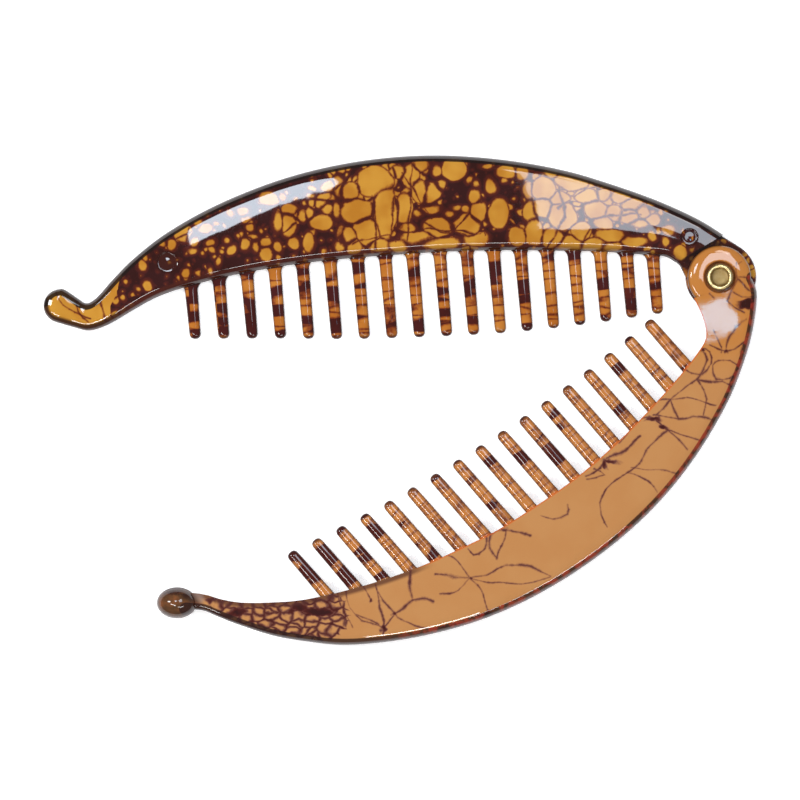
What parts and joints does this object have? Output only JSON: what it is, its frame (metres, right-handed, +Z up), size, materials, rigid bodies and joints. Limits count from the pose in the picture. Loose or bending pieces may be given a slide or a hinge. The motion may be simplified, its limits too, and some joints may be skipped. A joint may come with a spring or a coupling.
{
  "type": "banana hair clip",
  "caption": "Open banana hair clip: two long curved combs turn on one brass rivet, and a ball on one end snaps behind a hook on the other.",
  "frame": {"origin": "centre of the bounding box in X and Y, at the surface that the open clip lies on", "axes": "+X from the free ends towards the rivet end, +Y from the ball comb towards the hook comb, +Z up from the surface, along the rivet"},
  "size_m": [0.1394, 0.0956, 0.0061],
  "materials": {
    "amber_plastic": "clear glossy amber plastic with a dark red-brown crackle pattern",
    "brass": "bright pale brass, dull in the dished middle"
  },
  "bodies": {
    "hook_comb": {"hook_comb": "amber_plastic", "hinge_rivet": "brass"},
    "ball_comb": {"ball_comb": "amber_plastic"}
  },
  "joints": [
    {"name": "rivet_hinge", "type": "hinge", "parent": "hook_comb", "child": "ball_comb", "pos_m": [0.0623, 0.02395, 0.0019], "axis": [0, 0, 1], "range_deg": [-24, 100]}
  ]
}
